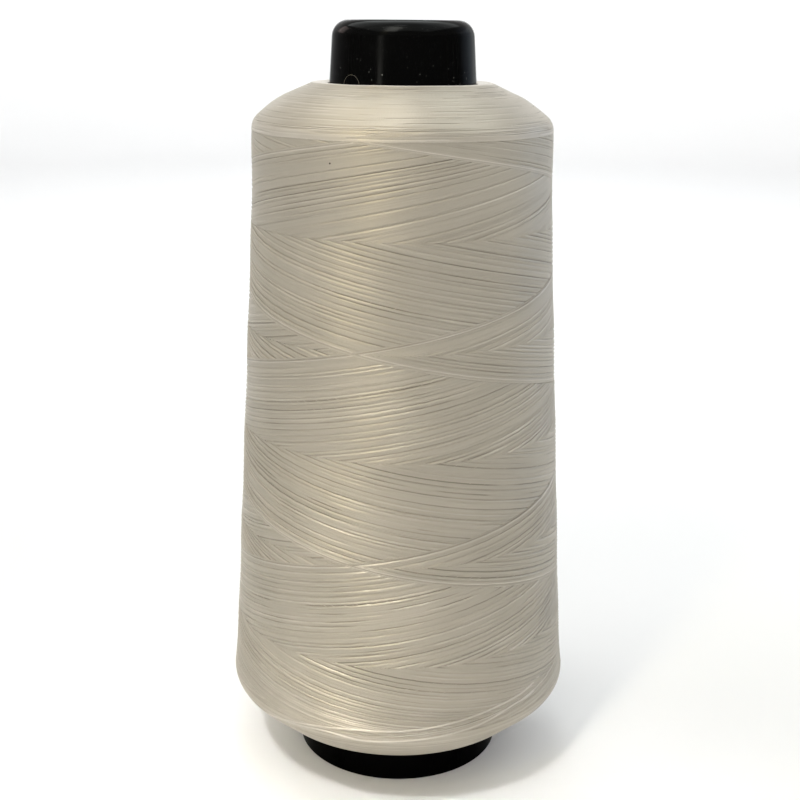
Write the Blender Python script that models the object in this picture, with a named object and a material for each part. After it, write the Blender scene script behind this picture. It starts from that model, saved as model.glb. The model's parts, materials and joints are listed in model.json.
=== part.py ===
"""Cone of thread: a moulded plastic cone tube with thread wound on it.

The tube is one hollow turned solid, open at both ends. Its wall tapers towards a rounded nose,
which turns in to a narrower mouth. The wound thread is a second turned solid round the tube: a
body that follows the tube's taper, a long shoulder that rises to the neck, a short bevel under
the widest turn, and a flat underside. Crossing turns leave a low diamond swell on its surface.

Units are metres, +Z is up, the axis of both pieces is Z, and the tube stands on z = 0.
"""

import math
from typing import NamedTuple

import bmesh
import bpy

# The tube
TUBE_LENGTH = 0.115
BASE_RADIUS = 0.01605
NOSE_RADIUS = 0.01025
TUBE_WALL = 0.0013
BASE_EDGE_ROUND = 0.0003
NOSE_ROUND = 0.0024
MOUTH_RADIUS = 0.0066
MOUTH_ROUND = 0.0007
LIP_DEPTH = 0.0024
LIP_CORNER_ROUND = 0.0009

# The wound thread
THREAD_CLEARANCE = 0.0003
NECK_HEIGHT = 0.1061
CREST_RADIUS = 0.0131
CREST_HEIGHT = 0.1063
CREST_ROUND = 0.0006
SHOULDER_RADIUS = 0.0218
SHOULDER_HEIGHT = 0.1020
SHOULDER_ROUND = 0.0054
HIP_RADIUS = 0.0267
HIP_HEIGHT = 0.0127
HIP_ROUND = 0.0026
LOWER_EDGE_RADIUS = 0.0214
LOWER_EDGE_HEIGHT = 0.0076
LOWER_EDGE_ROUND = 0.0014
UNDERSIDE_HEIGHT = 0.0058

# Thread piled up where the stroke turns back, as rings just inside both ends of the body
REVERSAL_LIFT = 0.00033
UPPER_REVERSAL = 0.0986
UPPER_REVERSAL_REACH = 0.0068
LOWER_REVERSAL = 0.0127
LOWER_REVERSAL_REACH = 0.0047

# The diamond swell of the crossing turns
TURN_ADVANCE = 0.0308
DIAMONDS_AROUND = 2
DIAMOND_LIFT = 0.0001

# Facets
SEGMENTS = 64
ARC_STEP_ANGLE = math.radians(18)
BODY_STEP = 0.0032
SHARP_ANGLE = math.radians(40)

# Colours, roughness and sheen
BLACK_PLASTIC = (0.006, 0.006, 0.006, 1.0)
PLASTIC_ROUGHNESS = 0.28
CREAM_THREAD = (0.62, 0.56, 0.44, 1.0)
THREAD_ROUGHNESS = 0.45
THREAD_SHEEN = 0.3


class Corner(NamedTuple):
    """A corner of a turned outline: its distance from the axis, its height, and its rounding."""

    radius: float
    height: float
    round: float = 0.0


def clear_scene():
    """Removes whatever the open file already holds."""
    for thing in list(bpy.data.objects):
        bpy.data.objects.remove(thing)


def tube_radius(height):
    """Outer radius of the tube's straight taper at a height."""
    return BASE_RADIUS + (NOSE_RADIUS - BASE_RADIUS) * height / TUBE_LENGTH


def direction(start, end):
    """Unit vector from one corner of an outline to another, and the distance."""
    across = end.radius - start.radius
    up = end.height - start.height
    length = math.hypot(across, up)
    return across / length, up / length, length


def rounded(before, corner, after):
    """The arc that replaces a corner: both sides are cut back by round / tan(half the angle)."""
    if corner.round == 0.0:
        return [(corner.radius, corner.height)]
    back_x, back_z, _ = direction(corner, before)
    on_x, on_z, _ = direction(corner, after)
    half = math.acos(back_x * on_x + back_z * on_z) / 2
    cut = corner.round / math.tan(half)
    middle_x, middle_z = back_x + on_x, back_z + on_z
    reach = corner.round / math.sin(half) / math.hypot(middle_x, middle_z)
    centre_x = corner.radius + middle_x * reach
    centre_z = corner.height + middle_z * reach
    start = math.atan2(
        corner.height + back_z * cut - centre_z, corner.radius + back_x * cut - centre_x
    )
    end = math.atan2(
        corner.height + on_z * cut - centre_z, corner.radius + on_x * cut - centre_x
    )
    sweep = (end - start + math.pi) % (2 * math.pi) - math.pi
    steps = math.ceil(abs(sweep) / ARC_STEP_ANGLE)
    angles = [start + sweep * step / steps for step in range(steps + 1)]
    return [
        (centre_x + corner.round * math.cos(a), centre_z + corner.round * math.sin(a))
        for a in angles
    ]


def rounded_loop(corners):
    """The closed outline through the corners, each with its arc."""
    points = []
    for index, corner in enumerate(corners):
        after = corners[(index + 1) % len(corners)]
        points += rounded(corners[index - 1], corner, after)
    return points


def divided(points, longest):
    """The closed outline again, with its outer stretches cut into steps of at most the longest."""
    finer = []
    for (r0, z0), (r1, z1) in zip(points, points[1:] + points[:1]):
        on_tube = max(r0 - tube_radius(z0), r1 - tube_radius(z1)) < 2 * THREAD_CLEARANCE
        steps = 1 if on_tube else math.ceil(math.hypot(r1 - r0, z1 - z0) / longest)
        for step in range(steps):
            share = step / steps
            finer.append((r0 + (r1 - r0) * share, z0 + (z1 - z0) * share))
    return finer


def bump(height, middle, reach):
    """A bell curve over height, one at its middle."""
    return math.exp(-(((height - middle) / reach) ** 2))


def wound_lift(radius, height, angle):
    """How far the thread stands out of its plain outline: the reversal rings and the diamonds.

    The diamonds are the sum of two opposite helices, and fade out towards the tube."""
    depth = radius - tube_radius(height)
    share = min(1.0, max(0.0, (depth - THREAD_CLEARANCE) / (SHOULDER_RADIUS - CREST_RADIUS)))
    rings = bump(height, UPPER_REVERSAL, UPPER_REVERSAL_REACH)
    rings += bump(height, LOWER_REVERSAL, LOWER_REVERSAL_REACH)
    turned = 2 * math.pi * height / TURN_ADVANCE
    rising = math.cos(DIAMONDS_AROUND * (angle - turned))
    falling = math.cos(DIAMONDS_AROUND * (angle + turned))
    diamonds = (rising + falling) / 2
    return share * (REVERSAL_LIFT * rings + DIAMOND_LIFT * diamonds)


def turned_solid(name, outline, material, lift=None):
    """Spins a closed outline once round Z and gives the solid its material."""
    mesh = bmesh.new()
    ring = [mesh.verts.new((radius, 0.0, height)) for radius, height in outline]
    edges = [mesh.edges.new(pair) for pair in zip(ring, ring[1:] + ring[:1])]
    bmesh.ops.spin(
        mesh,
        geom=ring + edges,
        axis=(0.0, 0.0, 1.0),
        cent=(0.0, 0.0, 0.0),
        angle=2 * math.pi,
        steps=SEGMENTS,
        use_merge=True,
    )
    if lift:
        for vertex in mesh.verts:
            radius = math.hypot(vertex.co.x, vertex.co.y)
            angle = math.atan2(vertex.co.y, vertex.co.x)
            grown = 1 + lift(radius, vertex.co.z, angle) / radius
            vertex.co.x *= grown
            vertex.co.y *= grown
    bmesh.ops.recalc_face_normals(mesh, faces=mesh.faces)
    data = bpy.data.meshes.new(name)
    mesh.to_mesh(data)
    mesh.free()
    data.shade_smooth()
    data.set_sharp_from_angle(angle=SHARP_ANGLE)
    data.materials.append(material)
    solid = bpy.data.objects.new(name, data)
    bpy.context.scene.collection.objects.link(solid)
    return solid


def surface_material(name, colour, roughness, sheen=0.0):
    """A Principled material with one colour and roughness."""
    material = bpy.data.materials.new(name)
    material.use_nodes = True
    shader = material.node_tree.nodes["Principled BSDF"]
    shader.inputs["Base Color"].default_value = colour
    shader.inputs["Roughness"].default_value = roughness
    shader.inputs["Metallic"].default_value = 0.0
    shader.inputs["Sheen Weight"].default_value = sheen
    return material


def tube_corners():
    """The tube's wall in section, from the base rim up the outside and back down the bore."""
    lip_height = TUBE_LENGTH - LIP_DEPTH
    return [
        Corner(BASE_RADIUS - TUBE_WALL, 0.0),
        Corner(BASE_RADIUS, 0.0, BASE_EDGE_ROUND),
        Corner(NOSE_RADIUS, TUBE_LENGTH, NOSE_ROUND),
        Corner(MOUTH_RADIUS, TUBE_LENGTH, MOUTH_ROUND),
        Corner(MOUTH_RADIUS, lip_height, MOUTH_ROUND),
        Corner(tube_radius(lip_height) - TUBE_WALL, lip_height, LIP_CORNER_ROUND),
    ]


def thread_corners():
    """The wound thread in section, from the bore up to the neck and down its outside."""
    return [
        Corner(tube_radius(UNDERSIDE_HEIGHT) + THREAD_CLEARANCE, UNDERSIDE_HEIGHT),
        Corner(tube_radius(NECK_HEIGHT) + THREAD_CLEARANCE, NECK_HEIGHT),
        Corner(CREST_RADIUS, CREST_HEIGHT, CREST_ROUND),
        Corner(SHOULDER_RADIUS, SHOULDER_HEIGHT, SHOULDER_ROUND),
        Corner(HIP_RADIUS, HIP_HEIGHT, HIP_ROUND),
        Corner(LOWER_EDGE_RADIUS, LOWER_EDGE_HEIGHT, LOWER_EDGE_ROUND),
    ]


def build_cone_tube():
    """The hollow tube."""
    plastic = surface_material("black_plastic", BLACK_PLASTIC, PLASTIC_ROUGHNESS)
    return turned_solid("cone_tube", rounded_loop(tube_corners()), plastic)


def build_thread_package():
    """The wound thread round the tube."""
    thread = surface_material("cream_thread", CREAM_THREAD, THREAD_ROUGHNESS, THREAD_SHEEN)
    outline = divided(rounded_loop(thread_corners()), BODY_STEP)
    return turned_solid("thread_package", outline, thread, wound_lift)


clear_scene()
build_cone_tube()
build_thread_package()
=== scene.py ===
"""The looks of the cone of thread: the fine turns of thread, the moulded tube, the stage and the light.

Every turn is a D-shaped thread laid on the turned outline of the wound body. Two families of turns
cross: rising turns climb to the right as they are seen from outside, falling turns sink to the
right. Each stroke lies a little beside the last one, so at every point one family is newer and lies
on top, and the surface breaks into the diamonds of a cross-wound cone.

Lengths are metres; MM turns millimetres into them. Z is the axis, and the front faces -Y.
"""

import json
import math

import bpy
import numpy as np
from mathutils import Matrix, Vector

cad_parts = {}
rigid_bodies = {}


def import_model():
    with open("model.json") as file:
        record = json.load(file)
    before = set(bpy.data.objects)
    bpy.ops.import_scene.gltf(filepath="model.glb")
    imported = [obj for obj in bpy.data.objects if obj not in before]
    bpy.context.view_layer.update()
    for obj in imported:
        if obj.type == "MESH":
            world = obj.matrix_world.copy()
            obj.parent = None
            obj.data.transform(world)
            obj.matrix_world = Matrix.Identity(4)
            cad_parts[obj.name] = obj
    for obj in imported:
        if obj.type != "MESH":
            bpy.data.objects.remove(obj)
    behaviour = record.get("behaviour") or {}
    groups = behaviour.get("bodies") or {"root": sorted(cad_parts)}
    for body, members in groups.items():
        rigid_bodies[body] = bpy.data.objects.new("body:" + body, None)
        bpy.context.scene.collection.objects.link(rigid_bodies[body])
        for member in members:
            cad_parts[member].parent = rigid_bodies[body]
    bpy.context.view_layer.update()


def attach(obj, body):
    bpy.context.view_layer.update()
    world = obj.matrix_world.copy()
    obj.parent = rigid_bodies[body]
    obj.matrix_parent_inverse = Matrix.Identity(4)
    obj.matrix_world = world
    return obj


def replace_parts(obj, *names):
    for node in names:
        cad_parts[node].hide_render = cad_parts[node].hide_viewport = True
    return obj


MM = 0.001
TURN = 2 * math.pi
BODY = "root"
SEED = 4711

# The tube, as in its solid
TUBE_LENGTH = 115 * MM
BASE_RADIUS = 16.05 * MM
NOSE_RADIUS = 10.25 * MM
TUBE_WALL = 1.3 * MM
BASE_EDGE_ROUND = 0.3 * MM
BASE_INNER_ROUND = 0.25 * MM
NOSE_ROUND = 2.4 * MM
MOUTH_RADIUS = 6.6 * MM
MOUTH_ROUND = 0.7 * MM
LIP_DEPTH = 2.4 * MM
LIP_CORNER_ROUND = 0.9 * MM

# The tube is a little wider at its foot and its neck than its straight taper
FOOT_SPREAD = 0.2 * MM
FOOT_REACH = 60 * MM
NECK_SPREAD = 0.12 * MM
WIDEST_NECK = 104 * MM

# The wound body in section: its corners as radius, height and rounding
THREAD_CLEARANCE = 0.3 * MM
UNDERSIDE_HEIGHT = 5.8 * MM
LOWER_EDGE = (21.4 * MM, 7.6 * MM, 1.4 * MM)
HIP = (26.7 * MM, 12.7 * MM, 2.6 * MM)
SHOULDER_EDGE = (21.79 * MM, 100.75 * MM, 2.2 * MM)
SHOULDER_BEND = (17.88 * MM, 104.08 * MM, 8.0 * MM)
CREST = (13.1 * MM, 106.3 * MM, 0.6 * MM)
NECK_HEIGHT = 106.1 * MM
MID_HEIGHT = 56 * MM
MID_RADIUS = 24 * MM

# How far the wound body stands out, in millimetres: two rings where the stroke turns back, given as
# middle and reach, and the diamonds of the crossing turns
REVERSALS = ((98.6 * MM, 6.8 * MM), (12.7 * MM, 4.7 * MM))
REVERSAL_LIFT = 0.33
DIAMOND_LIFT = 0.05
FULL_RADII = (15 * MM, 21 * MM)

# The shoulder's unevenness: its upper and its middle stretch as middle and reach, how much fuller they
# are on the left and how much thinner the upper one is on the right, in millimetres
SHOULDER_UPPER = (104.9 * MM, 1.0 * MM)
SHOULDER_MIDDLE = (102.7 * MM, 1.1 * MM)
LEFT_FULLNESS = (0.15, 0.18)
RIGHT_THINNESS = 0.08

# Slow waves on the shoulder: count round it, climb in radians a metre, start; where and how high
SHOULDER_WAVES = ((5, 900, 0), (9, -2100, 1))
WAVY_STRETCH = (103.5 * MM, 3.0 * MM)
WAVE_LIFT = 0.03

# The winding: how far a turn climbs, where the newest turns of both families cross, the runs between
# which turns are laid, and over what run and how deep they dive at both ends
TURN_ADVANCE = 30.8 * MM
CROSSING_HEIGHT = 70.75 * MM
CROSSING_ANGLE = math.radians(-19.5)
LAY_BAND = (5.2 * MM, 103.6 * MM)
LAY_SINK = 1.2 * MM
LAY_DEPTH = 0.3 * MM

# The stroke slows before it turns back: where it starts to, and over what run it would stand still
UPPER_SLOWING = (90.0 * MM, 32.0 * MM)
LOWER_SLOWING = (22.0 * MM, 18.0 * MM)

# One thread's section, how deep it lies under a newer one, how deep the core lies, and how closely and
# evenly threads are laid
THREAD_WIDTH = 0.23 * MM
THREAD_HEIGHT = 0.16 * MM
UNDER_DEPTH = 0.15 * MM
CORE_DEPTH = 0.28 * MM
PITCH = 0.18 * MM
UNEVEN_PITCH = 0.08
WANDER = 0.02 * MM
WANDER_RATES = (0.7, 1.7, 3.1)

# Grooves between bundles of threads: how many threads lie from one to the next in the rising and the
# falling family, how deep they lie, the shares of that depth they take, and the waves that fade them
GROOVE_GAPS = {1: (3, 5), -1: (3, 5)}
GROOVE_DEPTH = 0.13 * MM
GROOVE_SHARES = (0.6, 1.0)
GROOVE_RATES = (0.7, 1.9, 4.3)
GROOVE_SWING = 1.6

# The share of its length on which a groove shows, from a lower run to an upper one
GROOVE_LASTING = {
    1: ((55 * MM, 85 * MM), (1.5, 0.3)),
    -1: ((84 * MM, 94 * MM), (1.5, 0.05)),
}

# Short breaks in the grooves: how many to a turn, and how deep, from a lower run to an upper one
BREAK_RATE = 11
BREAKS = ((45 * MM, 72 * MM), (0.75, 0.1))

# How much stronger the grooves' tilt and their painted shade and highlights are, from a lower run to
# an upper one
GROOVE_CONTRAST = ((42 * MM, 62 * MM), (1.22, 1.0))

# The body's top lies in the shoulder's shade: how much lower its tone is, and from which run to which
UPPER_SHADE = 0.5
UPPER_SHADE_RUNS = (94 * MM, 98 * MM)

# Steps of a groove across its threads: neighbour, share of the depth it sinks, share its edges tilt,
# and how much its tone rises, which paints shade into the groove and a highlight on the thread below
# it. The lean is the slow tilt of every thread.
GROOVE_STEPS = ((0, 1.0, 0.0, -1.2), (1, 0.05, -0.35, 0.0), (-1, -0.1, 0.4, 0.7))
LEAN = 0.012 * MM

# The newest turns of each family, laid apart from each other, and how much their tones rise, as
# painted highlights on some of them and painted shade on one
LOOSE_TURNS = 3
LOOSE_PITCH = (1.0, 1.2)
LOOSE_PAINTED_LIGHT_AND_SHADE = (0.2, 1.3, -0.7, 1.1)

# The dome's radiance at the horizon and overhead
HORIZON_GLOW = (2.07, 2.04, 2.0, 1)
ZENITH_GLOW = (0.03, 0.03, 0.03, 1)

# Lamps: place (azimuth from the front to the right, climb, distance), aim, size, watts, colour. They
# stand round a point on the axis at the lamp centre's height.
MIDDLE = (0.0, 0.0, 0.06)
LAMPS = {
    "key": ((-32, 38, 0.6), (0.0, 0.0, 0.04), (0.08, 0.3), 0.05, (1.0, 0.86, 0.51)),
    "tall_strip": ((-36, 8, 0.6), (0.0, 0.0, 0.1), (0.06, 0.3), 0.08, (1.0, 1.0, 0.9)),
    "tube_top": ((-23, 60, 0.4), (0.0, 0.0, 0.115), (0.1, 0.2), 3.2, (1.0, 1.0, 0.92)),
    "tube_ceiling": ((0, 90, 0.4), (0.0, 0.0, 0.115), (0.7, 0.7), 10.0, (0.95, 1.0, 0.98)),
    "tube_left": ((-124, 28, 0.6), (0.0, 0.0, 0.115), (0.2, 0.2), 0.8, (1.0, 0.8, 0.75)),
    "tube_right": ((130, 5, 0.6), (0.0, 0.0, 0.11), (0.5, 0.5), 0.85, (0.85, 0.95, 1.0)),
    "overhead": ((-20, 84, 0.4), MIDDLE, (0.06, 0.06), 0.2, (1.0, 1.0, 1.0)),
    "front_top": ((0, 60, 0.6), MIDDLE, (0.2, 0.2), 0.2, (1.0, 0.91, 0.7)),
    "left_top": ((-90, 60, 0.6), MIDDLE, (0.3, 0.3), 0.73, (1.0, 0.96, 0.88)),
    "right_top": ((90, 60, 0.6), MIDDLE, (0.3, 0.3), 0.71, (0.92, 0.98, 1.0)),
    "back_top": ((180, 60, 0.6), MIDDLE, (0.3, 0.3), 0.95, (0.94, 0.99, 1.0)),
    "cool_rim": ((120, 20, 0.7), MIDDLE, (0.4, 0.4), 0.23, (0.05, 0.39, 1.0)),
    "backdrop": ((180, 52.4, 0.82), (0.0, 1.2, 0.1), (0.8, 0.3), 4.8, (0.96, 0.98, 1.0)),
    "floor_pool": ((-31.6, 55.9, 0.543), (-0.06, -0.12, 0.0), (0.06, 0.06), 0.14, (1.0, 0.99, 0.96)),
}
LAMP_SPREADS = {
    "key": math.radians(45),
    "tall_strip": math.radians(45),
    "floor_pool": math.radians(32),
}
LAMP_CENTRE = 0.05

# Lamps that light the tube alone
TUBE_LAMPS = ("tall_strip", "tube_top", "tube_ceiling", "tube_left", "tube_right")

# The nearly level turns on the shoulder and under the lower edge: how closely they lie and how evenly
RING_WIDTH = 0.25 * MM
RING_PITCH = 0.17 * MM
RING_SCATTER = 0.03
RING_DRIFT = 0.45
RING_RATES = (5, 13, 27)
RING_LASTING = 0.3

# Waves of a ring's run: count round it, and size; then the middle and the swing of their common size
RING_WAVES = ((1, 1.0), (3, 0.4), (8, 0.35), (15, 0.3))
RING_SIZES = (0.65, 0.35)

# The shoulder's and the lower edge's turns: first or last run, lean, groove gaps and depth
SHOULDER_FROM = 99.5 * MM
SHOULDER_LEAN = 0.035 * MM
SHOULDER_GAPS = (2, 4)
SHOULDER_GROOVES = 0.045 * MM
HIP_TO = 13.9 * MM
HIP_LEAN = 0.05 * MM
HIP_GAPS = (3, 7)
HIP_GROOVES = 0.03 * MM
# The lower edge's turns are painted paler, as light that bounces up from the floor onto them
HIP_PAINTED_LIGHT = 0.8

# The shoulder's lowest turns: how proud they lie, how far up they reach, and how much their tone
# rises, a painted highlight on them
EDGE_PROUD = 0.02 * MM
EDGE_REACH = 3.0 * MM
EDGE_PAINTED_HIGHLIGHT = 1.1

# Single proud turns on the lower edge, each as knots of an angle in degrees and a run in millimetres
UPPER_EDGE_TURN = (
    (-60, 11.5),
    (-34, 13.6),
    (-14, 14.7),
    (-2, 14.8),
    (8, 15.1),
    (22, 15.8),
    (33, 16.4),
    (46, 16.9),
    (60, 18.0),
)
LOWER_EDGE_TURN = (
    (-50, 12.6),
    (-23, 13.7),
    (-11, 13.1),
    (-2, 13.3),
    (6, 13.5),
    (15, 13.8),
    (28, 14.5),
    (39, 15.6),
    (60, 16.2),
)
EDGE_TURN_LIFT = 0.1 * MM
EDGE_TURN_TILT = 0.06 * MM
EDGE_TURN_DIVE = 0.25 * MM
# How much the edge turns' tone rises, a painted highlight along them
EDGE_TURN_PAINTED_HIGHLIGHT = 2.3

# An edge turn's samples, and how many of them its knots are smoothed over and its ends dive over
EDGE_SAMPLES = 120
EDGE_SMOOTHING = 13
EDGE_DIVE_SAMPLES = 18

# A loop of lint at the neck: middle and half width as angles, foot, rise, gap, thickness and tone
LINT_ANGLE = math.radians(-42.6)
LINT_REACH = math.radians(8.3)
LINT_FOOT = 105.9 * MM
LINT_RISE = 1.6 * MM
LINT_GAP = 0.12 * MM
LINT_RADIUS = 0.013 * MM
LINT_TONE = -1.5

# The core under the turns: its tone, and its girth in millimetres
CORE_TONE = 0.5
CORE_GIRTH = 150

# The thread's colour by the level of its tone, from the painted shade of a deep groove through its
# own cream to the painted highlights of its palest turns
THREAD_TONES = (
    (0.0, (0.27, 0.245, 0.2, 1)),
    (0.15, (0.425, 0.39, 0.325, 1)),
    (0.5, (0.46, 0.42, 0.35, 1)),
    (1.0, (0.69, 0.65, 0.585, 1)),
)

# How much a tone counts in the thread's colour, how far apart the tones lie in its swells, and how
# finely its twist is scaled
TONE_WEIGHT = 0.45
SWELL_SPACING = 60.0
TWIST_SCALE = (6.0, 2.0, 1.0)

# The turns round the neck, painted pale as a highlight: how far they reach out from it, and their tone
NECK_PALE_REACH = 2.35 * MM
NECK_PAINTED_HIGHLIGHT = 3.0

# A speck of dirt on the body, and the dust on the tube, thickest at the neck
DIRT_PLACE = (-9.73 * MM, -20.12 * MM, 96.42 * MM)
DIRT_RADII = (0.13 * MM, 0.16 * MM)
DIRT_COLOUR = (0.02, 0.018, 0.015, 1)
DUSTY_HEIGHTS = (106 * MM, 110.5 * MM)
DUST_FROM = 60 * MM
DUST_COLOUR = (0.08, 0.08, 0.075, 1)

# The bare plastic
PLASTIC_COLOUR = (0.0014, 0.0014, 0.0014, 1)

# The camera: place, lens in millimetres, how far it looks down, and its roll
CAMERA_PLACE = (-0.05 * MM, -192.56 * MM, 113.97 * MM)
LENS = 57.38
SENSOR_WIDTH = 36.0
LOOK_DOWN = math.radians(16.295)
ROLL = math.radians(0.469)

# The stage: the radius of its flat floor, the radius of its wall, and the wall's height
FLOOR_RADIUS = 0.95
WALL_RADIUS = 1.25
WALL_HEIGHT = 0.5

# Facets: a thread's samples, its section as shares of half its width and of its height, the angle
# past which an edge is sharp, half the angle over which a thread dives, and the points of an arc
SAMPLES_PER_TURN = 48
LEAST_STEP = 1e-4
SECTION = np.array([(-1.0, 1.0), (-0.75, 0.09), (0.0, 0.0), (0.75, 0.09), (1.0, 1.0)])
SHARP_ANGLE = math.radians(45)
DIVE_HALF_ANGLE = 0.014
ARC_POINTS = 24


def clear_scene():
    """Removes whatever the open file already holds."""
    for thing in list(bpy.data.objects):
        bpy.data.objects.remove(thing)


clear_scene()
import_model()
rng = np.random.default_rng(SEED)


# ---------------------------------------------------------------- outlines


def tube_radius(height):
    """Outer radius of the tube's straight taper at a height."""
    return BASE_RADIUS + (NOSE_RADIUS - BASE_RADIUS) * height / TUBE_LENGTH


def rounded_line(corners, arc_points=ARC_POINTS):
    """A polyline through (radius, height, rounding) corners, with an arc for each rounding.

    The arc's centre lies on the corner's bisector at rounding / sin(half the angle), and the arc
    runs between the two points where it touches the sides."""
    points = [corners[0][:2]]
    for before, corner, after in zip(corners, corners[1:], corners[2:]):
        here, rounding = np.array(corner[:2]), corner[2]
        back = np.array(before[:2]) - here
        on = np.array(after[:2]) - here
        back /= np.linalg.norm(back)
        on /= np.linalg.norm(on)
        if rounding == 0:
            points.append(tuple(here))
            continue
        half = math.acos(back @ on) / 2
        middle = (back + on) / np.linalg.norm(back + on)
        centre = here + middle * rounding / math.sin(half)
        cut = rounding / math.tan(half)
        start = math.atan2(*(here + back * cut - centre)[::-1])
        end = math.atan2(*(here + on * cut - centre)[::-1])
        sweep = (end - start + math.pi) % TURN - math.pi
        angles = start + sweep * np.linspace(0, 1, arc_points)
        arc = centre + rounding * np.stack([np.cos(angles), np.sin(angles)], axis=-1)
        points += list(arc)
    points.append(corners[-1][:2])
    return np.array(points)


class Outline:
    """A turned outline by its run, the distance along it in section.

    The run is shifted so that it equals the height at mid body, where the outline is nearly upright.
    Radius and height are read off the rounded polyline, and the normal is its direction, turned."""

    def __init__(self, corners, level_height, steps=6000):
        line = rounded_line(corners)
        run = np.concatenate([[0], np.cumsum(np.linalg.norm(np.diff(line, axis=0), axis=1))])
        self.run = np.linspace(0, run[-1], steps)
        self.radius = np.interp(self.run, run, line[:, 0])
        self.height = np.interp(self.run, run, line[:, 1])
        self.run = self.run - np.interp(level_height, self.height, self.run) + level_height
        self.out_r = np.gradient(self.height, self.run)
        self.out_z = -np.gradient(self.radius, self.run)

    def at(self, run):
        """Radius, height and the outward normal's two parts at a run."""
        r, z = np.interp(run, self.run, self.radius), np.interp(run, self.run, self.height)
        nr, nz = np.interp(run, self.run, self.out_r), np.interp(run, self.run, self.out_z)
        size = np.hypot(nr, nz)
        return r, z, nr / size, nz / size


THREAD_OUTLINE = Outline(
    [
        (tube_radius(UNDERSIDE_HEIGHT) + THREAD_CLEARANCE, UNDERSIDE_HEIGHT, 0),
        LOWER_EDGE,
        HIP,
        SHOULDER_EDGE,
        SHOULDER_BEND,
        CREST,
        (tube_radius(NECK_HEIGHT) + THREAD_CLEARANCE, NECK_HEIGHT, 0),
    ],
    level_height=MID_HEIGHT,
)


def bell(value, middle, reach):
    """A bell curve, one at its middle."""
    return np.exp(-(((value - middle) / reach) ** 2))


def wound_lift(angle, radius, height):
    """How far the wound body stands out of its plain outline.

    Two bell-shaped reversal rings and the diamonds, a product of two cosines, which fade towards the
    neck, a fuller left and a thinner right side of the long shoulder, and a few slow waves there."""
    rings = sum(bell(height, middle, reach) for middle, reach in REVERSALS)
    turned = TURN * height / TURN_ADVANCE
    diamonds = np.cos(2 * angle) * np.cos(2 * turned)
    side = np.sin(angle)
    left = np.clip(-side, 0, 1) ** 2
    right = np.clip(side, 0, 1) ** 2
    upper = bell(height, *SHOULDER_UPPER)
    middle = bell(height, *SHOULDER_MIDDLE)
    uneven = left * (LEFT_FULLNESS[0] * upper + LEFT_FULLNESS[1] * middle)
    uneven -= RIGHT_THINNESS * right * upper
    waves = sum(np.sin(count * angle + climb * height + start) for count, climb, start in SHOULDER_WAVES)
    uneven += WAVE_LIFT * waves * bell(height, *WAVY_STRETCH)
    body = smooth_step((radius - FULL_RADII[0]) / (FULL_RADII[1] - FULL_RADII[0]))
    return (body * (REVERSAL_LIFT * rings + DIAMOND_LIFT * diamonds) + uneven) * MM


def around(angle):
    """Unit vectors away from the axis and along the turn, by the sine and cosine of the angle.

    Angle 0 is the front, and it grows to the right."""
    zero = np.zeros_like(angle)
    out = np.stack([np.sin(angle), -np.cos(angle), zero], axis=-1)
    along = np.stack([np.cos(angle), np.sin(angle), zero], axis=-1)
    return out, along


def on_wound_body(angle, run, sink):
    """Points and normals of the wound surface: the outline's radius and height at the run, turned by
    the angle, and moved along the normal by the lift less the sink."""
    r, z, nr, nz = THREAD_OUTLINE.at(run)
    out, _ = around(angle)
    up = np.array([0.0, 0.0, 1.0])
    normal = out * nr[..., None] + up * nz[..., None]
    point = out * r[..., None] + up * z[..., None]
    lift = wound_lift(angle, r, z) - sink
    return point + normal * lift[..., None], normal


def smooth_step(x):
    """0 below 0, 1 above 1, and between them three times the square less twice the cube."""
    x = np.clip(x, 0, 1)
    return x * x * (3 - 2 * x)


# ---------------------------------------------------------------- meshes


def make_piece(name, points, faces, material, uv=None, tone=None, slot=None):
    """A mesh piece from arrays: points, faces, a UV for each face corner and a tone for each point.

    With a slot it rides on the body."""
    mesh = bpy.data.meshes.new(name)
    points = np.asarray(points, np.float32)
    faces = np.asarray(faces, np.int32)
    sides = faces.shape[1]
    mesh.vertices.add(len(points))
    mesh.vertices.foreach_set("co", points.ravel())
    mesh.loops.add(faces.size)
    mesh.loops.foreach_set("vertex_index", faces.ravel())
    mesh.polygons.add(len(faces))
    mesh.polygons.foreach_set("loop_start", np.arange(0, faces.size, sides, dtype=np.int32))
    if uv is not None:
        layer = mesh.uv_layers.new(name="UVMap")
        layer.data.foreach_set("uv", np.asarray(uv, np.float32).ravel())
    if tone is not None:
        attribute = mesh.attributes.new("tone", "FLOAT", "POINT")
        attribute.data.foreach_set("value", np.asarray(tone, np.float32))
    mesh.update(calc_edges=True)
    mesh.validate()
    mesh.shade_smooth()
    mesh.set_sharp_from_angle(angle=SHARP_ANGLE)
    mesh.materials.append(material)
    piece = bpy.data.objects.new(name, mesh)
    bpy.context.scene.collection.objects.link(piece)
    if slot:
        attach(piece, BODY)
    return piece


def grid_faces(rows, columns, close_rows=False, close_columns=False):
    """Quads of a grid of points, row by row, wrapped where a side closes on itself."""
    i = np.arange(rows if close_rows else rows - 1)
    j = np.arange(columns if close_columns else columns - 1)
    i, j = np.meshgrid(i, j, indexing="ij")
    i1, j1 = (i + 1) % rows, (j + 1) % columns
    corners = ((i, j), (i1, j), (i1, j1), (i, j1))
    quads = np.stack([row * columns + column for row, column in corners], axis=-1)
    return quads.reshape(-1, 4)


def wraps(index):
    """Which faces close a ring: those whose corners are more than one step apart."""
    return index.max(axis=1) - index.min(axis=1) > 1


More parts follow.
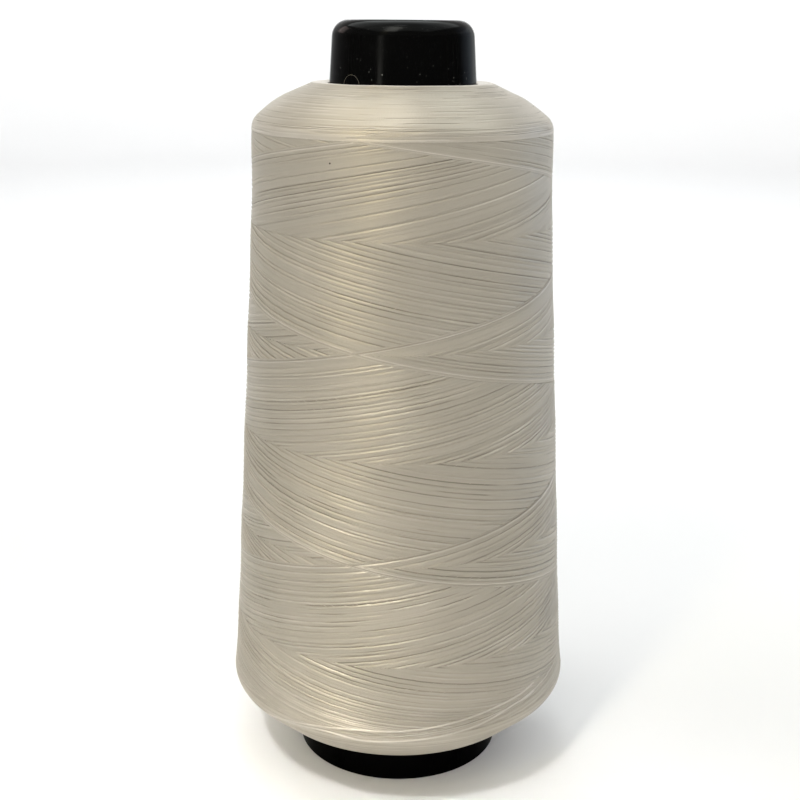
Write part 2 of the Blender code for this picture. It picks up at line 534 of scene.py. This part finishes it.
def thread_mesh(name, angle, run, sink, tilt, tone, material, closed=False, width=THREAD_WIDTH):
    """Joins many threads into one piece. Each row of angle and run is one thread's path.

    A thread's section is a low crown on two steep sides, whose flat side faces the body. It is
    carried along the path between the surface normal and the direction across the thread. Tilt
    lowers its upper edge and lifts its lower edge."""
    threads, samples = angle.shape
    point, normal = on_wound_body(angle, run, sink)
    if closed:
        along = np.roll(point, -1, axis=1) - np.roll(point, 1, axis=1)
    else:
        along = np.gradient(point, axis=1)
    along /= np.linalg.norm(along, axis=-1, keepdims=True)
    across = np.cross(normal, along)
    across /= np.linalg.norm(across, axis=-1, keepdims=True)
    side = SECTION[:, 0] * width / 2
    drop = SECTION[:, 1] * THREAD_HEIGHT + SECTION[:, 0] * tilt[:, :, None]
    points = (
        point[:, :, None, :]
        + across[:, :, None, :] * side[None, None, :, None]
        - normal[:, :, None, :] * drop[:, :, :, None]
    )
    around_section = len(SECTION)
    one = grid_faces(samples, around_section, close_rows=closed, close_columns=True)[:, ::-1]
    offset = np.arange(threads)[:, None, None] * samples * around_section
    faces = (one[None] + offset).reshape(-1, 4)
    step = np.linalg.norm(np.diff(point, axis=1), axis=-1)
    length = np.concatenate([np.zeros((threads, 1)), np.cumsum(step, axis=1)], axis=1) / MM
    row = (faces // around_section) % samples
    column = faces % around_section
    thread = faces // (around_section * samples)
    v = column + np.where(wraps(column)[:, None] & (column == 0), around_section, 0)
    u = length[thread, row]
    if closed:
        last = wraps(row)[:, None] & (row == 0)
        u = np.where(last, length[thread, -1] + (length[thread, 1] - length[thread, 0]), u)
    uv = np.stack([u, v / around_section], axis=-1)
    piece_tone = np.repeat(np.broadcast_to(tone, angle.shape), around_section)
    points = points.reshape(-1, 3)
    return make_piece(name, points, faces, material, uv.reshape(-1, 2), piece_tone, "cream_thread")


# ---------------------------------------------------------------- the winding


def laid_pitches():
    """Distances between neighbouring threads of one family, as shares of one advance.

    They scatter a little about one pitch, the newest turns lie apart, and all are scaled to close."""
    climb = TURN_ADVANCE * math.cos(math.atan(TURN_ADVANCE / (TURN * MID_RADIUS)))
    count = int(climb / PITCH - LOOSE_TURNS * (sum(LOOSE_PITCH) / 2 - 1))
    pitch = rng.normal(1, UNEVEN_PITCH, count)
    pitch[-LOOSE_TURNS:] = rng.uniform(*LOOSE_PITCH, LOOSE_TURNS)
    return pitch / pitch.sum()


def slowed(run):
    """A run after the stroke's slowing: past a start its slope falls evenly, so the run loses or gains
    the square of what lies beyond, over twice the reach."""
    start, reach = UPPER_SLOWING
    beyond = np.clip(run - start, 0, reach)
    run = run - beyond**2 / (2 * reach)
    start, reach = LOWER_SLOWING
    beyond = np.clip(start - run, 0, reach)
    return run + beyond**2 / (2 * reach)


def slow_wave(angle, rates, starts):
    """For each thread a sum of sines from its own starts, each over one more than its rate."""
    return sum(np.sin(angle * rate + start[:, None]) / (1 + rate) for rate, start in zip(rates, starts))


def random_starts(rates, count):
    """A random phase for each rate and thread."""
    return rng.uniform(0, TURN, (len(rates), count))


def grooves(angle, upward, gaps, depth, rates, lasting, breaks=0.0):
    """How far each thread sinks and tilts, and how its tone changes, where grooves come and go.

    A grooved thread lies deep. The one above it leans down to it, and the one below it leans up,
    so a groove has a shaded upper side and a bright lower one. The tone paints shade onto the
    grooved thread and a highlight onto the one below it. upward is 1 where the next thread lies
    above, and -1 where it lies below. Grooves lie a whole number of threads apart between the two
    gaps, and lasting is the share of its length on which one shows.
    A faster wave as high as the breaks is added to the slow ones that fade a groove in and out."""
    count = len(angle)
    starts = random_starts((*rates, BREAK_RATE), count)
    grooved = np.cumsum(rng.integers(gaps[0], gaps[1] + 1, count))
    shares = np.where(np.isin(np.arange(count), grooved), rng.uniform(*GROOVE_SHARES, count), 0.0)
    leans = LEAN * rng.normal(0, 1, count)[:, None]
    tilt = leans * slow_wave(angle, rates, random_starts(rates, count))
    sink = np.zeros_like(angle)
    tone = np.zeros_like(angle)
    swing = GROOVE_SWING / sum(1 / (1 + rate) for rate in rates)
    for step, sinks, tilts, tones in GROOVE_STEPS:
        shift = step * upward
        *slow, fast = np.roll(starts, shift, axis=1)
        broken = breaks * np.sin(BREAK_RATE * angle + fast[:, None])
        fade = smooth_step(lasting + swing * slow_wave(angle, rates, slow) + broken)
        local = fade * np.roll(shares, shift)[:, None]
        sink += sinks * depth * local
        tilt += tilts * depth * local
        tone += tones * local
    return sink, tilt, tone


def family(climbs):
    """One family of turns as arrays of angle, run, sink, tilt and tone, a row for each thread.

    climbs is 1 for rising turns and -1 for falling ones. A thread's phase is its angle less climbs
    times its run as an angle, and it stays the same along it. The newer a thread, the nearer its
    age is to 1. The thread that crosses it has twice the angle less this phase as its own, which
    gives its age, and the older of the two is sunk under the newer. All threads have their even
    samples at the same angles round the body, and extra samples on both sides of each change."""
    pitch = laid_pitches()
    age = np.cumsum(pitch) - pitch / 2
    turned_crossing = TURN * CROSSING_HEIGHT / TURN_ADVANCE
    own = CROSSING_ANGLE - climbs * turned_crossing
    other = CROSSING_ANGLE + climbs * turned_crossing
    phase = own + TURN * (1 - age)
    low, high = LAY_BAND
    turns = (high - low) / TURN_ADVANCE
    # The first angle of each thread: a rising turn starts at the lower end, a falling one at the upper
    start_run = low if climbs > 0 else high
    first = (phase + climbs * TURN * start_run / TURN_ADVANCE)[:, None]
    last = first + TURN * turns
    step = TURN / SAMPLES_PER_TURN
    even = (np.floor(first / step) + np.arange(int(turns * SAMPLES_PER_TURN) + 3)) * step
    # Where each thread crosses the newest ones of the other family, and where both are equally old
    halves = np.arange(-2, int(2 * turns) + 4)
    newest = (other + phase)[:, None] / 2 + math.pi * halves
    newest += math.pi * np.ceil((first - newest[:, :1]) / math.pi - 2)
    level = newest - math.pi * age[:, None]
    change = np.concatenate([newest, level], axis=1)
    extra = np.concatenate([change - DIVE_HALF_ANGLE, change + DIVE_HALF_ANGLE], axis=1)
    angle = np.sort(np.clip(np.concatenate([even, extra], axis=1), first, last), axis=1)
    ramp = np.arange(angle.shape[1]) * LEAST_STEP
    angle = np.maximum.accumulate(angle - ramp, axis=1) + ramp
    run = (angle - phase[:, None]) * climbs * TURN_ADVANCE / TURN
    other_age = ((other - (2 * angle - phase[:, None])) / TURN) % 1
    on_top = other_age < age[:, None]
    wander = slow_wave(angle, WANDER_RATES, random_starts(WANDER_RATES, len(phase)))
    run = slowed(run) + WANDER * wander
    low, high = slowed(np.array(LAY_BAND))
    beyond = np.maximum(low + LAY_SINK - run, run - high + LAY_SINK)
    sink = np.where(on_top, 0.0, UNDER_DEPTH) + LAY_DEPTH * smooth_step(beyond / LAY_SINK)
    lasting = np.interp(run, *GROOVE_LASTING[climbs])
    breaks = np.interp(run, *BREAKS)
    gaps = GROOVE_GAPS[climbs]
    sunk, tilt, tone = grooves(angle, climbs, gaps, GROOVE_DEPTH, GROOVE_RATES, lasting, breaks)
    # The grooves' painted shade and highlights, stronger low down, and painted shade on the body's top
    # under the shoulder
    contrast = np.interp(run, *GROOVE_CONTRAST)
    shade_from, shade_to = UPPER_SHADE_RUNS
    tone = tone * contrast - UPPER_SHADE * smooth_step((run - shade_from) / (shade_to - shade_from))
    # The newest turns lose their grooves and take painted highlights and shade instead
    newest_rows = slice(-len(LOOSE_PAINTED_LIGHT_AND_SHADE), None)
    sunk[newest_rows] = 0.0
    tone[newest_rows] = np.array(LOOSE_PAINTED_LIGHT_AND_SHADE)[:, None]
    return angle, run, sink + sunk, tilt * contrast, tone + rng.random(len(phase))[:, None]


def lay_turns(material, parts=3):
    """Both families of turns, each in a few pieces by age."""
    for name, climbs in (("rising_turns", 1), ("falling_turns", -1)):
        rows = family(climbs)
        for part, chosen in enumerate(np.array_split(np.arange(len(rows[0])), parts), 1):
            angle, run, sink, tilt, tone = (values[chosen] for values in rows)
            thread_mesh(f"{name}_{part}", angle, run, sink, tilt, tone, material)


def lay_rings(name, low, high, lean, gaps, depth, material, edge=0.0, pale=0.0, samples=144):
    """Closed turns side by side from one run to another, each leaning a little its own way.

    A turn's run is its middle plus a lean of one wave a turn and smaller ones of more waves, whose
    starts and size drift from turn to turn. The lowest turns stand proud, lean up by the edge and
    take a painted highlight, as do the turns round the neck. An even painted light, given as an
    argument, is added to every turn's tone."""
    count = int((high - low) / RING_PITCH)
    middle = low + (high - low) * (np.arange(count) + 0.5) / count
    middle += rng.normal(0, RING_SCATTER * RING_PITCH, count)
    one_turn = np.linspace(0, TURN, samples, endpoint=False)
    angle = np.array(np.broadcast_to(one_turn, (count, samples)))
    drift = np.cumsum(rng.normal(0, RING_DRIFT, (len(RING_WAVES) + 1, count)), axis=1)[:, :, None]
    starts = rng.uniform(0, TURN, (len(RING_WAVES), 1, 1)) + drift[:-1]
    proud = (edge > 0) * (1 - smooth_step((middle - low) / EDGE_REACH))[:, None]
    size = lean * (RING_SIZES[0] + RING_SIZES[1] * np.sin(drift[-1])) * (1 + proud)
    waves = sum(share * np.sin(n * angle + start) for (n, share), start in zip(RING_WAVES, starts))
    run = middle[:, None] + size * waves
    sink, tilt, tone = grooves(angle, 1, gaps, depth, RING_RATES, RING_LASTING)
    at_neck = THREAD_OUTLINE.run[-1] - middle < NECK_PALE_REACH
    # Painted highlights on the shoulder's lowest turns and round the neck, and the even painted light
    # given as an argument, over each turn's own random tone
    tone += EDGE_PAINTED_HIGHLIGHT * proud + (rng.random(count) + NECK_PAINTED_HIGHLIGHT * at_neck)[:, None] + pale
    sink -= 2 * edge * proud
    tilt += edge * proud
    thread_mesh(name, angle, run, sink, tilt, tone, material, closed=True, width=RING_WIDTH)


def lay_edge_turns(material):
    """Single turns that lie proud on the lower edge.

    Each is a straight course from knot to knot, smoothed by a moving bell, whose ends dive under
    the other turns."""
    half = EDGE_SAMPLES / 2
    to_end = half - np.abs(np.arange(EDGE_SAMPLES) - half)
    dive = EDGE_TURN_DIVE * (1 - smooth_step(to_end / EDGE_DIVE_SAMPLES))
    weights = np.hanning(EDGE_SMOOTHING) / np.hanning(EDGE_SMOOTHING).sum()
    rows = []
    for knots in (UPPER_EDGE_TURN, LOWER_EDGE_TURN):
        degrees, millimetres = np.array(knots).T
        knot_angle = np.radians(degrees)
        angle = np.linspace(knot_angle[0], knot_angle[-1], EDGE_SAMPLES)
        run = np.interp(angle, knot_angle, millimetres * MM)
        run = np.convolve(np.pad(run, EDGE_SMOOTHING // 2, mode="edge"), weights, mode="valid")
        rows.append((angle, run, dive - EDGE_TURN_LIFT))
    angle, run, sink = (np.array(values) for values in zip(*rows))
    tilt = np.full_like(sink, EDGE_TURN_TILT)
    # A raised tone paints a highlight along these turns
    thread_mesh("edge_turns", angle, run, sink, tilt, EDGE_TURN_PAINTED_HIGHLIGHT, material)


def lint_loop(material, samples=48, sides=6):
    """A loose fibre that stands off the tube as an arch.

    Its angle is the middle plus the reach times cos t, its height the foot plus the rise times
    sin t, with t from 0 to half a turn, and a small ring of points is carried along it."""
    t = np.linspace(0, math.pi, samples)
    angle = LINT_ANGLE + LINT_REACH * np.cos(t)
    height = LINT_FOOT + LINT_RISE * np.sin(t)
    out, _ = around(angle)
    path = out * (tube_radius(height) + LINT_GAP)[:, None]
    path[:, 2] = height
    along = np.gradient(path, axis=0)
    along /= np.linalg.norm(along, axis=1, keepdims=True)
    across = np.cross(along, out)
    turned = np.linspace(0, TURN, sides, endpoint=False)[None, :, None]
    ring = out[:, None] * np.cos(turned) + across[:, None] * np.sin(turned)
    points = path[:, None] + LINT_RADIUS * ring
    faces = grid_faces(samples, sides, close_columns=True)[:, ::-1]
    uv = np.stack([faces // sides, faces % sides], axis=-1).reshape(-1, 2)
    tone = np.full(samples * sides, LINT_TONE)
    make_piece("lint_loop", points.reshape(-1, 3), faces, material, uv, tone, "cream_thread")


def wound_core(material, rows=160, columns=144):
    """The body under the turns: the wound surface sunk a little, closed along the bore."""
    runs = np.linspace(THREAD_OUTLINE.run[0], THREAD_OUTLINE.run[-1], rows)
    angles = np.linspace(0, TURN, columns, endpoint=False)
    run, angle = np.meshgrid(runs, angles, indexing="ij")
    points = on_wound_body(angle, run, CORE_DEPTH)[0].reshape(-1, 3)
    faces = grid_faces(rows, columns, close_rows=True, close_columns=True)
    column = faces % columns
    u = (column + np.where(wraps(column)[:, None] & (column == 0), columns, 0)) / columns
    uv = np.stack([u * CORE_GIRTH, points[faces][:, :, 2] / MM], axis=-1).reshape(-1, 2)
    tone = np.full(len(points), CORE_TONE)
    return make_piece("wound_core", points, faces[:, ::-1], material, uv, tone, "cream_thread")


def turned_piece(name, corners, material, slot, columns=192, longest=12 * MM):
    """A closed outline spun once round Z, its long stretches cut into shorter steps."""
    line = rounded_line(corners, arc_points=9)
    finer = []
    for start, end in zip(line[:-1], line[1:]):
        steps = max(1, math.ceil(np.linalg.norm(end - start) / longest))
        finer.append(start + (end - start) * np.arange(steps)[:, None] / steps)
    line = np.concatenate(finer)
    angles = np.linspace(0, TURN, columns, endpoint=False)
    out, _ = around(np.broadcast_to(angles, (len(line), columns)))
    points = out * line[:, 0][:, None, None]
    points[..., 2] = line[:, 1][:, None]
    faces = grid_faces(len(line), columns, close_rows=True, close_columns=True)[:, ::-1]
    return make_piece(name, points.reshape(-1, 3), faces, material, slot=slot)


def build_tube(material):
    """The moulded tube: tapered wall, rounded nose, turned-in lip and open base."""
    lip = TUBE_LENGTH - LIP_DEPTH
    start = (BASE_RADIUS - TUBE_WALL / 2, 0.0, 0)
    corners = [
        start,
        (BASE_RADIUS + FOOT_SPREAD, 0.0, BASE_EDGE_ROUND),
        (tube_radius(FOOT_REACH), FOOT_REACH, 0),
        (tube_radius(WIDEST_NECK) + NECK_SPREAD, WIDEST_NECK, 0),
        (NOSE_RADIUS, TUBE_LENGTH, NOSE_ROUND),
        (MOUTH_RADIUS, TUBE_LENGTH, MOUTH_ROUND),
        (MOUTH_RADIUS, lip, MOUTH_ROUND),
        (tube_radius(lip) - TUBE_WALL, lip, LIP_CORNER_ROUND),
        (BASE_RADIUS - TUBE_WALL, 0.0, BASE_INNER_ROUND),
        start,
    ]
    return turned_piece("moulded_tube", corners, material, "black_plastic")


# ---------------------------------------------------------------- materials


class Nodes:
    """Short names for the node calls of one material."""

    def __init__(self, name):
        self.material = bpy.data.materials.new(name)
        self.material.use_nodes = True
        self.tree = self.material.node_tree
        self.shader = self.tree.nodes["Principled BSDF"]

    def add(self, kind, **values):
        """A new node with its settings, or else its inputs, given by name."""
        node = self.tree.nodes.new(kind)
        for key, value in values.items():
            if hasattr(node, key):
                setattr(node, key, value)
            else:
                node.inputs[key.replace("_", " ")].default_value = value
        return node

    def link(self, source, target):
        """A link from an output to an input."""
        self.tree.links.new(source, target)

    def mix(self, share, under, over, target):
        """Mixes a fixed colour over another colour by a share, into an input of the shader."""
        mixer = self.add("ShaderNodeMix", data_type="RGBA")
        self.link(share, mixer.inputs["Factor"])
        if isinstance(under, tuple):
            mixer.inputs[6].default_value = under
        else:
            self.link(under, mixer.inputs[6])
        mixer.inputs[7].default_value = over
        self.link(mixer.outputs[2], self.shader.inputs[target])

    def set(self, **values):
        """Sets the shader's inputs to even values."""
        for key, value in values.items():
            self.shader.inputs[key.replace("_", " ")].default_value = value


def thread_material():
    """Satin filament thread: cream, with its own tone on each turn, which also carries painted shade
    and highlights, slow swells along it, and its twist as fine ridges."""
    n = Nodes("satin_thread")
    tone = n.add("ShaderNodeAttribute", attribute_name="tone")
    where = n.add("ShaderNodeTexCoord")
    cloud = n.add("ShaderNodeTexNoise", Scale=90.0, Detail=3.0)
    n.link(where.outputs["Object"], cloud.inputs["Vector"])
    mixed = n.add("ShaderNodeMath", operation="MULTIPLY_ADD")
    mixed.inputs[1].default_value = TONE_WEIGHT
    n.link(tone.outputs["Fac"], mixed.inputs[0])
    n.link(cloud.outputs["Fac"], mixed.inputs[2])
    level = n.add("ShaderNodeMapRange", From_Max=2.0)
    n.link(mixed.outputs[0], level.inputs["Value"])
    ramp = n.add("ShaderNodeValToRGB")
    for place, colour in THREAD_TONES[1:-1]:
        ramp.color_ramp.elements.new(place).color = colour
    ramp.color_ramp.elements[0].color = THREAD_TONES[0][1]
    ramp.color_ramp.elements[-1].color = THREAD_TONES[-1][1]
    n.link(level.outputs["Result"], ramp.inputs["Fac"])
    away = n.add("ShaderNodeVectorMath", operation="DISTANCE")
    away.inputs[1].default_value = DIRT_PLACE
    n.link(where.outputs["Object"], away.inputs[0])
    near = n.add("ShaderNodeMapRange", From_Min=DIRT_RADII[1], From_Max=DIRT_RADII[0])
    n.link(away.outputs["Value"], near.inputs["Value"])
    n.mix(near.outputs["Result"], ramp.outputs["Color"], DIRT_COLOUR, "Base Color")
    wave = n.add("ShaderNodeTexWave", wave_type="BANDS", bands_direction="DIAGONAL", Scale=1.0)
    scaled = n.add("ShaderNodeMapping")
    scaled.inputs["Scale"].default_value = TWIST_SCALE
    n.link(where.outputs["UV"], scaled.inputs["Vector"])
    n.link(scaled.outputs["Vector"], wave.inputs["Vector"])
    twist = n.add("ShaderNodeBump", Strength=0.1, Distance=0.02 * MM)
    n.link(wave.outputs["Fac"], twist.inputs["Height"])
    place = n.add("ShaderNodeSeparateXYZ")
    n.link(where.outputs["UV"], place.inputs["Vector"])
    own = n.add("ShaderNodeMath", operation="MULTIPLY")
    own.inputs[1].default_value = SWELL_SPACING
    n.link(tone.outputs["Fac"], own.inputs[0])
    spot = n.add("ShaderNodeCombineXYZ")
    n.link(place.outputs["X"], spot.inputs["X"])
    n.link(own.outputs[0], spot.inputs["Y"])
    swell = n.add("ShaderNodeTexNoise", Scale=3.0, Detail=2.0)
    n.link(spot.outputs["Vector"], swell.inputs["Vector"])
    bump = n.add("ShaderNodeBump", Strength=0.5, Distance=0.07 * MM)
    n.link(swell.outputs["Fac"], bump.inputs["Height"])
    n.link(twist.outputs["Normal"], bump.inputs["Normal"])
    n.link(bump.outputs["Normal"], n.shader.inputs["Normal"])
    along = n.add("ShaderNodeTangent", direction_type="UV_MAP", uv_map="UVMap")
    n.link(along.outputs["Tangent"], n.shader.inputs["Tangent"])
    n.set(Roughness=0.5, IOR=1.5, Metallic=0.8, Anisotropic=0.6, Anisotropic_Rotation=0.25)
    return n.material


def plastic_material():
    """Moulded black plastic: soft gloss with faint scuffs, and specks of dust."""
    n = Nodes("moulded_black_plastic")
    n.set(IOR=1.5, Specular_IOR_Level=0.05, Metallic=0.6, Specular_Tint=(0.0, 0.0, 0.0, 1))
    where = n.add("ShaderNodeTexCoord")
    cloud = n.add("ShaderNodeTexNoise", Scale=160.0, Detail=4.0)
    n.link(where.outputs["Object"], cloud.inputs["Vector"])
    rough = n.add("ShaderNodeMapRange", From_Min=0.3, From_Max=0.7, To_Min=0.1, To_Max=0.2)
    n.link(cloud.outputs["Fac"], rough.inputs["Value"])
    n.link(rough.outputs["Result"], n.shader.inputs["Roughness"])
    specks = n.add("ShaderNodeTexVoronoi", Scale=1300.0)
    n.link(where.outputs["Object"], specks.inputs["Vector"])
    dot = n.add("ShaderNodeMapRange", From_Min=0.14, From_Max=0.07)
    n.link(specks.outputs["Distance"], dot.inputs["Value"])
    place = n.add("ShaderNodeSeparateXYZ")
    n.link(where.outputs["Object"], place.inputs["Vector"])
    low = n.add("ShaderNodeMapRange", From_Min=DUSTY_HEIGHTS[1], From_Max=DUSTY_HEIGHTS[0], To_Min=0.04)
    n.link(place.outputs["Z"], low.inputs["Value"])
    high = n.add("ShaderNodeMath", operation="GREATER_THAN")
    high.inputs[1].default_value = DUST_FROM
    n.link(place.outputs["Z"], high.inputs[0])
    masked = n.add("ShaderNodeMath", operation="MULTIPLY")
    n.link(high.outputs[0], masked.inputs[0])
    n.link(low.outputs["Result"], masked.inputs[1])
    dust = n.add("ShaderNodeMath", operation="MULTIPLY")
    n.link(dot.outputs["Result"], dust.inputs[0])
    n.link(masked.outputs[0], dust.inputs[1])
    n.mix(dust.outputs[0], PLASTIC_COLOUR, DUST_COLOUR, "Base Color")
    return n.material


def stage_material():
    """Plain pale paper."""
    n = Nodes("pale_stage")
    n.set(Base_Color=(0.82, 0.82, 0.82, 1), Roughness=0.9)
    return n.material


# ---------------------------------------------------------------- stage, light and camera


def build_stage():
    """A round floor whose rim sweeps up in a quarter circle into a wall all round."""
    sweep = np.linspace(0, math.pi / 2, 16)[1:]
    bend = WALL_RADIUS - FLOOR_RADIUS
    flat = np.concatenate([[1e-4], np.linspace(0.05, FLOOR_RADIUS, 8)])
    radius = np.concatenate([flat, FLOOR_RADIUS + bend * np.sin(sweep), [WALL_RADIUS]])
    height = np.concatenate([np.zeros(len(flat)), bend * (1 - np.cos(sweep)), [WALL_HEIGHT]])
    columns = 96
    angles = np.linspace(0, TURN, columns, endpoint=False)
    out, _ = around(np.broadcast_to(angles, (len(radius), columns)))
    points = out * radius[:, None, None]
    points[..., 2] = height[:, None]
    faces = grid_faces(len(radius), columns, close_columns=True)
    stage = make_piece("stage", points.reshape(-1, 3), faces, stage_material())


def soft_light(name, place, aim, size, power, colour):
    """A rectangular area light that stands round the middle of the cone and faces a point."""
    azimuth, climb = np.radians(place[:2])
    level = math.cos(climb)
    out = Vector((math.sin(azimuth) * level, -math.cos(azimuth) * level, math.sin(climb)))
    stand = out * place[2] + Vector((0, 0, LAMP_CENTRE))
    data = bpy.data.lights.new(name, "AREA")
    data.shape = "RECTANGLE"
    data.size, data.size_y = size
    data.energy = power
    data.color = colour
    light = bpy.data.objects.new(name, data)
    bpy.context.scene.collection.objects.link(light)
    light.location = stand
    light.visible_camera = False
    light.rotation_euler = (Vector(aim) - stand).to_track_quat("-Z", "Y").to_euler()
    return light


def build_room():
    """The world as a soft dome: a bright horizon that falls smoothly to a dark ceiling."""
    world = bpy.data.worlds.new("soft_dome")
    world.use_nodes = True
    nodes, links = world.node_tree.nodes, world.node_tree.links
    direction = nodes.new("ShaderNodeTexCoord")
    parts = nodes.new("ShaderNodeSeparateXYZ")
    height = nodes.new("ShaderNodeMapRange")
    height.interpolation_type = "SMOOTHSTEP"
    glow = nodes.new("ShaderNodeValToRGB")
    glow.color_ramp.elements[0].color = HORIZON_GLOW
    glow.color_ramp.elements[1].color = ZENITH_GLOW
    links.new(direction.outputs["Generated"], parts.inputs["Vector"])
    links.new(parts.outputs["Z"], height.inputs["Value"])
    links.new(height.outputs["Result"], glow.inputs["Fac"])
    links.new(glow.outputs["Color"], nodes["Background"].inputs["Color"])
    bpy.context.scene.world = world


def build_light(tube):
    """The dome and the lamps: some are narrowed to a cone, and some light the tube alone."""
    build_room()
    tube_only = bpy.data.collections.new("tube_only")
    tube_only.objects.link(tube)
    for name, setting in LAMPS.items():
        lamp = soft_light(name, *setting)
        if name in LAMP_SPREADS:
            lamp.data.spread = LAMP_SPREADS[name]
        if name in TUBE_LAMPS:
            lamp.light_linking.receiver_collection = tube_only


def build_camera():
    """The photograph's viewpoint: level with the nose, looking down, and rolled by half a degree."""
    data = bpy.data.cameras.new("camera")
    data.sensor_width = SENSOR_WIDTH
    data.lens = LENS
    data.clip_start = 0.01
    camera = bpy.data.objects.new("camera", data)
    bpy.context.scene.collection.objects.link(camera)
    turn = Matrix.Rotation(math.pi / 2 - LOOK_DOWN, 4, "X") @ Matrix.Rotation(ROLL, 4, "Z")
    camera.matrix_world = Matrix.Translation(CAMERA_PLACE) @ turn
    bpy.context.scene.camera = camera


# ---------------------------------------------------------------- the whole

build_stage()
build_camera()
bpy.context.scene.view_settings.view_transform = "Standard"

thread = thread_material()
plastic = plastic_material()
tube = build_tube(plastic)
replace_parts(tube, "cone_tube")
build_light(tube)
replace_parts(wound_core(thread), "thread_package")
lay_turns(thread)
lay_rings(
    "shoulder_turns",
    SHOULDER_FROM,
    THREAD_OUTLINE.run[-1],
    SHOULDER_LEAN,
    SHOULDER_GAPS,
    SHOULDER_GROOVES,
    thread,
    edge=EDGE_PROUD,
)
lay_rings(
    "hip_turns",
    THREAD_OUTLINE.run[0],
    HIP_TO,
    HIP_LEAN,
    HIP_GAPS,
    HIP_GROOVES,
    thread,
    pale=HIP_PAINTED_LIGHT,
)
lay_edge_turns(thread)
lint_loop(thread)
